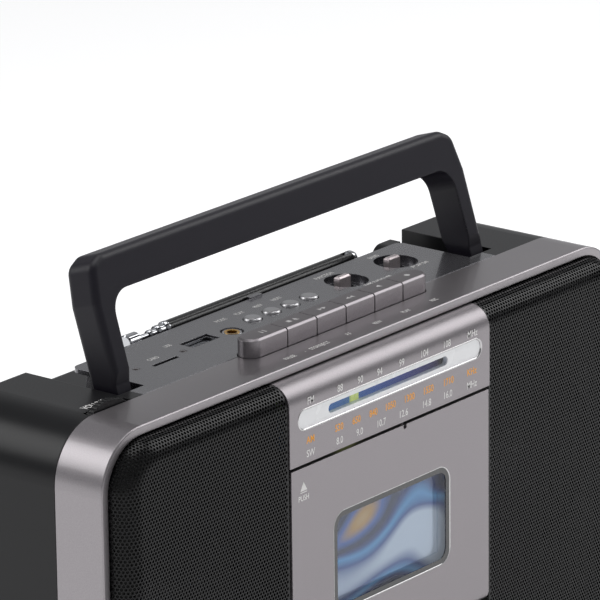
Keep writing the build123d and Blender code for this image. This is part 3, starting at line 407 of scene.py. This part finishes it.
def lettering(name, items, size, finish, place, body, squeeze=0.72, bold=0.0):
    """Flat words set side by side: each item is its text and the middle of its foot in mm. The words
    are made meshes as they lie, narrowed, joined, then carried to their place by one matrix."""
    points, faces, start = [], [], 0
    for text, x, y in items:
        curve = bpy.data.curves.new(name, "FONT")
        curve.body, curve.size, curve.align_x = text, size, "CENTER"
        curve.extrude, curve.resolution_u, curve.offset = INK / 2, 3, bold
        words = bpy.data.objects.new(name, curve)
        bpy.context.scene.collection.objects.link(words)
        mesh = bpy.data.meshes.new_from_object(words.evaluated_get(bpy.context.evaluated_depsgraph_get()))
        mesh.calc_loop_triangles()
        spots = np.zeros(len(mesh.vertices) * 3)
        mesh.vertices.foreach_get("co", spots)
        spots = spots.reshape(-1, 3) * (squeeze, 1, 1) + (x * MM, y * MM, INK / 2)
        triangles = np.zeros(len(mesh.loop_triangles) * 3, int)
        mesh.loop_triangles.foreach_get("vertices", triangles)
        points.append(spots)
        faces += (triangles.reshape(-1, 3) + start).tolist()
        start += len(spots)
        bpy.data.objects.remove(words)
        bpy.data.curves.remove(curve)
        bpy.data.meshes.remove(mesh)
    turned = np.concatenate(points) @ np.array(place.to_3x3()).T + np.array(place.translation)
    return piece(name, turned, faces, finish, body, sharp=60)


ON_FRONT = Matrix.Translation((0, FRONT, 0)) @ Matrix.Rotation(math.pi / 2, 4, "X")
ON_DECK = Matrix.Translation((0, 0, DECK_Z))

white_ink, tree, shader = material("white screen ink")
grain(tree, shader, 0.3 * MM, "#DCDAD8", "#F0EEEC", (0.4, 0.55), 0.001 * MM, 0.01 * MM)
orange_ink, tree, shader = material("orange screen ink")
grain(tree, shader, 0.3 * MM, "#F3A024", "#FBB040", (0.4, 0.55), 0.001 * MM, 0.01 * MM)
faint_ink, tree, shader = material("thin grey-white screen ink")
grain(tree, shader, 0.3 * MM, "#B9B8B8", "#CDCBCA", (0.4, 0.55), 0.001 * MM, 0.01 * MM)

FM = [("FM", -44.1), ("88", -28.3), ("90", -17.3), ("94", -6.7), ("99", 5.5), ("104", 18.2), ("108", 30.9),
      ("MHz", 45.5)]
SW = [("SW", -44.4), ("8.0", -28.8), ("9.0", -17.9), ("10.7", -6.1), ("12.6", 6.3), ("14.8", 19.3),
      ("16.0", 31.3), ("MHz", 45.1)]
AM = [("AM", -44.4), ("530", -29.0), ("650", -19.6), ("840", -10.3), ("1050", -1.0), ("1300", 9.6),
      ("1550", 20.3), ("1710", 31.7), ("KHz", 45.1)]
lettering("dial_numbers_white", [(t, x, 138.3) for t, x in FM] + [(t, x, 120.0) for t, x in SW],
          3.5 * MM, white_ink, ON_FRONT, "cabinet", squeeze=0.86, bold=0.04 * MM)
lettering("dial_numbers_orange", [(t, x, 124.7) for t, x in AM], 3.5 * MM, orange_ink, ON_FRONT,
          "cabinet", squeeze=0.86, bold=0.05 * MM)
KEY_X, KEY_PITCH, KEY_COUNT = 2.7, 15.9, 6
KEY_MIDDLES = KEY_X + (np.arange(KEY_COUNT) - (KEY_COUNT - 1) / 2) * KEY_PITCH
KEY_WORDS = ("PAUSE", "STOP/EJECT", "F.F", "REW", "PLAY", "REC")
words = [(t, x - 0.7, -36.2) for t, x in zip(KEY_WORDS, KEY_MIDDLES.tolist())] + [("-", -29.8, -36.2)]
words += [("FUNCTION", 41.2, 11.6), ("BAND", 69.5, 11.6), ("USB", -52.6, 4.6), ("CARD", -66, -0.4)]
words += [("TAPE RADIO USB", 48.0, -7.2), ("FM AM SW", 72.0, -7.2)]
words += [(t, x, 8.2) for t, x in zip(("MODE", "PLAY", "PREV", "NEXT"), (-20.0, -10.0, 0.2, 10.4))]
lettering("deck_words", words, 2.7 * MM, white_ink, ON_DECK, "cabinet", bold=0.03 * MM)
lettering("volume_word", [("VOLUME", -114.0, -16.2)], 4.0 * MM, white_ink, ON_DECK, "cabinet",
          bold=0.05 * MM)


def prisms(outlines, low, high):
    """Upright prisms over flat outlines of any number of corners: a floor, a roof and a wall a side."""
    points, faces, start = [], [], 0
    for outline in outlines:
        flat, count = np.asarray(outline, float), len(outline)
        points += [np.column_stack([flat, np.full(count, z)]) for z in (low, high)]
        here = start + np.arange(count)
        after = np.roll(here, -1)
        faces += [here[::-1].tolist(), (here + count).tolist()]
        faces += np.stack([here, after, after + count, here + count], -1).tolist()
        start += 2 * count
    return np.concatenate(points), faces


def regular(x, y, radius, count, turn=0.0):
    """Corners of a regular polygon, anticlockwise."""
    angle = turn + np.arange(count) * 2 * math.pi / count
    return np.stack([x + radius * np.cos(angle), y + radius * np.sin(angle)], -1)


def bar(x, y, width, height):
    """Corners of an upright bar, anticlockwise."""
    return np.array([(x - width / 2, y - height / 2), (x + width / 2, y - height / 2),
                     (x + width / 2, y + height / 2), (x - width / 2, y + height / 2)])


# Marks on the key tops: bars, triangles and a dot, each riding on its own key.
KEY_TOP, KEY_Y = 156.5, -23.1
MARKS = {
    "key_pause": [bar(-0.9, 0, 0.6, 2.2), bar(0.9, 0, 0.6, 2.2)],
    "key_stop": [bar(-1.8, 0, 1.8, 1.8), regular(1.5, 0.1, 1.2, 3, math.pi / 2), bar(1.5, -1.0, 2.1, 0.4)],
    "key_forward": [regular(-1.0, 0, 1.2, 3), regular(1.0, 0, 1.2, 3)],
    "key_rewind": [regular(-1.0, 0, 1.2, 3, math.pi), regular(1.0, 0, 1.2, 3, math.pi)],
    "key_play": [regular(0, 0, 1.4, 3, math.pi)],
    "key_record": [regular(0, 0, 1.1, 16)],
}
for (key, outlines), x in zip(MARKS.items(), KEY_MIDDLES.tolist()):
    placed = [(np.asarray(o) + (x, KEY_Y)) * MM for o in outlines]
    points, faces = prisms(placed, KEY_TOP * MM, KEY_TOP * MM + INK)
    piece(f"{key}_mark", points, faces, faint_ink, key)


# ======================================================================= cassette door
# The door is painted like the panel above it. A plated bevel and a black band edge its window; the band is
# partly a printed frame and partly painted shade of the opening's recessed inner wall. A printed card behind
# the clear pane shows soft bands of blue, gold and violet.
WINDOW_W, WINDOW_H, WINDOW_R, WINDOW_Z = 65.0 * MM, 36.0 * MM, 6.0 * MM, 78.0 * MM
loop = hull_path(*corners(0, WINDOW_Z, WINDOW_W, WINDOW_H, WINDOW_R))
trim = [(0.0, 0.9), (-0.45, 0.55), (-0.5, 0.3), (-0.15, -0.02), (0.06, -0.04), (0.08, 0.3)]
points, faces = swept(*loop, [(a * MM, FRONT + b * MM) for a, b in trim])
piece("window_bevel", points, faces, plated, "door", sharp=60)
# Painted shade: this black band, 0.3 to 2.2 mm inside the opening and as wide as the door plate is thick,
# darkens where the recessed inner wall shows, besides giving the printed frame.
mask = [(-0.3, 0.3), (-2.2, 0.3), (-2.2, 0.22), (-0.3, 0.16)]
gloss_black, tree, shader = material("black gloss ink under acrylic", Coat_Weight=0.8, Coat_Roughness=0.03)
grain(tree, shader, 2.0 * MM, "#08080A", "#0E0E10", (0.2, 0.3), 0.001 * MM, 0.02 * MM)
points, faces = swept(*loop, [(a * MM, FRONT + b * MM) for a, b in mask])
piece("window_shade_band", points, faces, gloss_black, "door")

# Holographic print: slow waves of colour, warped so that no band is straight. The card also emits its
# colours faintly, a painted glow that brightens it behind the pane.
card_print, tree, shader = material("holographic printed card", Roughness=0.2, Metallic=0.2,
                                    Coat_Weight=0.8, Coat_Roughness=0.03)
place = add(tree, "ShaderNodeTexCoord").outputs["Object"]
tilt = add(tree, "ShaderNodeMapping", {"Vector": place}, {"Rotation": (0, 0.7, 0), "Scale": (1.0, 1.0, 2.0)})
warp = add(tree, "ShaderNodeTexNoise", {"Vector": tilt.outputs["Vector"]},
           {"Scale": 1 / (44 * MM), "Detail": 0.0, "Distortion": 0.5})
bands = add(tree, "ShaderNodeValToRGB", {"Fac": warp.outputs["Fac"]})
ramp = bands.color_ramp
ramp.elements[0].position, ramp.elements[0].color = 0.24, linear("#B9C4D2")
ramp.elements[1].position, ramp.elements[1].color = 0.80, linear("#2F8F86")
for spot, code in ((0.33, "#2C4C86"), (0.41, "#4F8FC0"), (0.47, "#23386F"), (0.53, "#131A38"),
                   (0.59, "#3F5F9E"), (0.64, "#B08A50"), (0.69, "#C9B79A"), (0.75, "#4A3A80")):
    ramp.elements.new(spot).color = linear(code)
tree.links.new(bands.outputs["Color"], shader.inputs["Base Color"])
# Painted glow: the card's own colours are emitted at a low strength; no lamp lights it from behind.
tree.links.new(bands.outputs["Color"], shader.inputs["Emission Color"])
shader.inputs["Emission Strength"].default_value = 0.18
CARD_W, CARD_H, CARD_Y, CARD_T = 67.0, 38.0, -45.6 * MM, 0.3 * MM
points, faces = prisms([bar(0, WINDOW_Z / MM, CARD_W, CARD_H) * MM], 0.0, CARD_T)
points = np.stack([points[:, 0], CARD_Y - points[:, 2], points[:, 1]], -1)
piece("window_card", points, faces, card_print, "door")

PUSH_X = -48.4
lettering("door_word", [("PUSH", PUSH_X, 105.4)], 2.8 * MM, white_ink, ON_FRONT, "door",
          squeeze=0.86, bold=0.03 * MM)
points, faces = prisms([regular(PUSH_X, 109.9, 2.1, 3, math.pi / 2) * MM,
                        bar(PUSH_X, 108.3, 3.6, 0.3) * MM], 0.0, INK)
points = np.stack([points[:, 0], FRONT - points[:, 2], points[:, 1]], -1)
piece("eject_mark", points, faces, white_ink, "door")


# ======================================================================= deck controls
# Plated domed buttons, satin switch knobs in dark dishes, a plated jack, a stamped USB socket with
# gilt contacts, and two indicator lamps behind dark lenses.
button_plate, tree, shader = material("satin chrome on ABS", Metallic=1.0)
grain(tree, shader, 1.0 * MM, "#B9B8BA", "#C8C7C9", (0.30, 0.38), 0.001 * MM, 0.1 * MM)
paint(button_plate, "button_1", "button_2", "button_3", "button_4", "headphone_jack")

knob_paint, tree, shader = material("warm silver paint, satin", Metallic=0.65)
grain(tree, shader, 0.4 * MM, "#C3B8B9", "#D3C9CA", (0.26, 0.36), 0.003 * MM, 0.35 * MM)
paint(knob_paint, "function_switch", "band_switch")

tin, tree, shader = material("tinned steel stamping", Metallic=1.0)
grain(tree, shader, 1.0 * MM, "#7F8083", "#95969A", (0.25, 0.35), 0.002 * MM, 0.1 * MM)
paint(tin, "usb_socket")

# Glass-fibre board under green solder mask; the shade varies where copper runs below it.
board, tree, shader = material("green solder mask on glass fibre", IOR=1.55, Coat_Weight=0.3)
grain(tree, shader, 4.0 * MM, "#0F4A2A", "#1E6B3E", (0.3, 0.4), 0.01 * MM, 0.05 * MM)
paint(board, "switch_board", "circuit_board")

gilt, tree, shader = material("gold flash on copper", Metallic=1.0)
grain(tree, shader, 0.6 * MM, "#C79A4E", "#DDB467", (0.2, 0.3), 0.001 * MM, 0.02 * MM)
USB_X, CONTACT_PITCH = -41.6, 2.2
contacts = [bar(USB_X + CONTACT_PITCH * (i - 1.5), 0.02, 1.0, 0.3) * MM for i in range(4)]
points, faces = prisms(contacts, 143.0 * MM, 148.3 * MM)
piece("usb_contacts", points, faces, gilt, "cabinet")


def lathed(profile, centre, count=48):
    """Turn a closed profile of radius and height about the vertical through centre."""
    profile = np.asarray(profile, float)
    size, turn = len(profile), np.arange(count) * 2 * math.pi / count
    x = centre[0] + profile[None, :, 0] * np.cos(turn)[:, None]
    y = centre[1] + profile[None, :, 0] * np.sin(turn)[:, None]
    z = np.broadcast_to(centre[2] + profile[None, :, 1], x.shape)
    points = np.stack([x, y, z], -1).reshape(-1, 3)
    return points, closed_grid(points, count, size)


sleeve = np.array([(1.75, -6.0), (1.75, 0.02), (2.1, 0.16), (2.7, 0.16), (2.75, -0.25), (1.79, -6.0)]) * MM
JACK_X, JACK_Y, JACK_RECESS = -27.0 * MM, -1.6 * MM, 0.3 * MM
points, faces = lathed(sleeve, (JACK_X, JACK_Y, DECK_Z - JACK_RECESS))
piece("jack_sleeve", points, faces, gilt, "cabinet", sharp=50)
lens, tree, shader = material("smoked acrylic lens", IOR=1.49, Coat_Weight=1.0, Coat_Roughness=0.02)
grain(tree, shader, 1.0 * MM, "#2A2022", "#3A2C2E", (0.1, 0.15), 0.001 * MM, 0.02 * MM)
dome = np.array([(0.02, -0.6), (0.02, 0.22), (0.6, 0.17), (1.1, 0.02), (1.25, -0.2), (1.25, -0.6)]) * MM
for label, x, y in (("power", -53.7, -2.3), ("usb", -77.8, -2.1)):
    points, faces = lathed(dome, (x * MM, y * MM, DECK_Z))
    piece(f"{label}_lamp_lens", points, faces, lens, "cabinet", sharp=50)


# ======================================================================= antenna
# Four nested drawn tubes: the outer one is painted black, the inner ones are chromed. Each mouth is
# rolled in to a small bright collar, and a turned cap closes the last.
antenna_black, tree, shader = material("black lacquer on brass tube", IOR=1.5, Coat_Weight=0.2)
grain(tree, shader, 1.0 * MM, "#070708", "#0C0C0E", (0.25, 0.35), 0.001 * MM, 0.2 * MM)
paint(antenna_black, "antenna_tube")
chrome, tree, shader = material("chromed brass tube", Metallic=1.0)
grain(tree, shader, 2.0 * MM, "#C2C3C6", "#CFD0D3", (0.07, 0.12), 0.0005 * MM, 0.1 * MM)
paint(chrome, "antenna_section_1", "antenna_section_2", "antenna_tip")
ANT_Y, ANT_Z, HINGE_END_X = 20.5 * MM, 149.0 * MM, 66.0 * MM
for body, mouth, bore, outer in (("antenna", -37.0, 2.15, 2.75), ("antenna_section_1", -41.0, 1.55, 2.25),
                                 ("antenna_section_2", -45.0, 1.05, 1.65)):
    collar = np.array([(bore, 0.0), (outer - 0.2, -0.15), (outer, 0.1), (outer, 1.4),
                       (bore + 0.02, 1.6)]) * MM
    points, faces = lathed(collar, (0, 0, 0))
    points = np.stack([mouth * MM + points[:, 2], ANT_Y + points[:, 0], ANT_Z + points[:, 1]], -1)
    piece(f"{body}_collar", points, faces, chrome, body, sharp=50)


# A bright pressed cap closes the tube's hinge end.
cap = np.array([(0.02, 2.9), (1.2, 2.65), (2.1, 2.0), (2.68, 0.6), (2.7, -0.6), (2.62, -0.6), (2.62, 0.5),
                (0.02, 2.62)]) * MM
points, faces = lathed(cap, (0, 0, 0))
points = np.stack([HINGE_END_X + points[:, 2], ANT_Y + points[:, 0], ANT_Z + points[:, 1]], -1)
piece("antenna_end_cap", points, faces, chrome, "antenna", sharp=50)


# ======================================================================= tape mechanism
# Behind the door a brass flywheel and motor pulley are joined by a square rubber belt. Heads and
# motor are plated steel.
brass, tree, shader = material("turned brass", Metallic=1.0)
grain(tree, shader, 0.5 * MM, "#B08A4A", "#C49C58", (0.2, 0.3), 0.002 * MM, 0.1 * MM)
paint(brass, "flywheel", "motor_pulley")
SHAFTS, RUN_RADII = np.array([(15.0, 100.0), (-36.0, 60.0)]), np.array([18.02, 3.62])
BELT_FRONT, BELT_W = -25.6, 0.9
BELT_BACK = BELT_FRONT + BELT_W
section = np.array([(0.0, BELT_FRONT), (BELT_W, BELT_FRONT), (BELT_W, BELT_BACK), (0.0, BELT_BACK)])
points, faces = swept(*hull_path(SHAFTS * MM, RUN_RADII * MM), section * MM)
piece("capstan_belt", points, faces, rubber, "cabinet", sharp=50)


# ======================================================================= studio
# A white floor, a dim even room, and four large soft lights: overhead, upper right, upper left behind
# and a weak one low behind.
floor_paint = bpy.data.materials.new("matt white paper sweep")
floor_paint.use_nodes = True
tree = floor_paint.node_tree
shader = tree.nodes["Principled BSDF"]
shader.inputs["Base Color"].default_value = linear("#F2F2F2")
shader.inputs["Roughness"].default_value = 0.9
shader.inputs["Emission Color"].default_value = linear("#FFFFFF")
shader.inputs["Emission Strength"].default_value = 0.36
mesh = bpy.data.meshes.new("floor")
FLOOR_HALF = 9.0
mesh.from_pydata([(-FLOOR_HALF, -FLOOR_HALF, 0), (FLOOR_HALF, -FLOOR_HALF, 0),
                  (FLOOR_HALF, FLOOR_HALF, 0), (-FLOOR_HALF, FLOOR_HALF, 0)], [], [(0, 1, 2, 3)])
mesh.materials.append(floor_paint)
floor = bpy.data.objects.new("floor", mesh)
bpy.context.scene.collection.objects.link(floor)

world = bpy.data.worlds.new("even studio room")
world.use_nodes = True
world.node_tree.nodes["Background"].inputs["Color"].default_value = linear("#F4F6FA")
world.node_tree.nodes["Background"].inputs["Strength"].default_value = 0.25
bpy.context.scene.world = world

MIDDLE = Vector((0.0, 0.0, 0.11))
for label, way, reach, size, power in (("overhead", (0.1, 0.0, 1.0), 1.5, 1.1, 9.0),
                                       ("upper_right", (0.74, -0.32, 0.60), 1.6, 1.0, 8.5),
                                       ("upper_left_behind", (-0.50, 0.62, 0.52), 1.6, 0.9, 7.0),
                                       ("behind_right", (0.745, 0.596, 0.40), 1.8, 1.4, 1.0)):
    softbox = bpy.data.lights.new(label, "AREA")
    softbox.shape, softbox.size, softbox.energy = "SQUARE", size, power
    lamp = bpy.data.objects.new(label, softbox)
    out = Vector(way).normalized()
    lamp.location = MIDDLE + out * reach
    lamp.rotation_euler = out.to_track_quat("Z", "Y").to_euler()
    lamp.visible_camera = False
    bpy.context.scene.collection.objects.link(lamp)

# The camera looks from 51.3 degrees left of the front and 17.4 degrees above, with a long lens.
TURN, RISE, ROLL_ANGLE = math.radians(51.318), math.radians(17.415), math.radians(0.70)
forward = Vector((math.sin(TURN) * math.cos(RISE), math.cos(TURN) * math.cos(RISE), -math.sin(RISE)))
level = forward.cross(Vector((0, 0, 1))).normalized()
up = level.cross(forward)
across = level * math.cos(ROLL_ANGLE) - up * math.sin(ROLL_ANGLE)
up = across.cross(forward)
lens_data = bpy.data.cameras.new("long_lens")
FOCAL_LENGTH, SENSOR_WIDTH = 313.2, 36.0      # millimetres, as on a full-frame camera
lens_data.lens, lens_data.sensor_width = FOCAL_LENGTH, SENSOR_WIDTH
lens_data.clip_start, lens_data.clip_end = 0.05, 100.0
camera = bpy.data.objects.new("camera", lens_data)
place = Matrix((across, up, -forward)).transposed().to_4x4()
AIM, BACK_OFF, LEFTWARD, UPWARD = Vector((0, -0.041, 0.150)), 1.7632, 0.0246, 0.0110
place.translation = AIM - across * LEFTWARD + up * UPWARD - forward * BACK_OFF
camera.matrix_world = place
bpy.context.scene.collection.objects.link(camera)
bpy.context.scene.camera = camera
bpy.context.scene.view_settings.view_transform = "Standard"
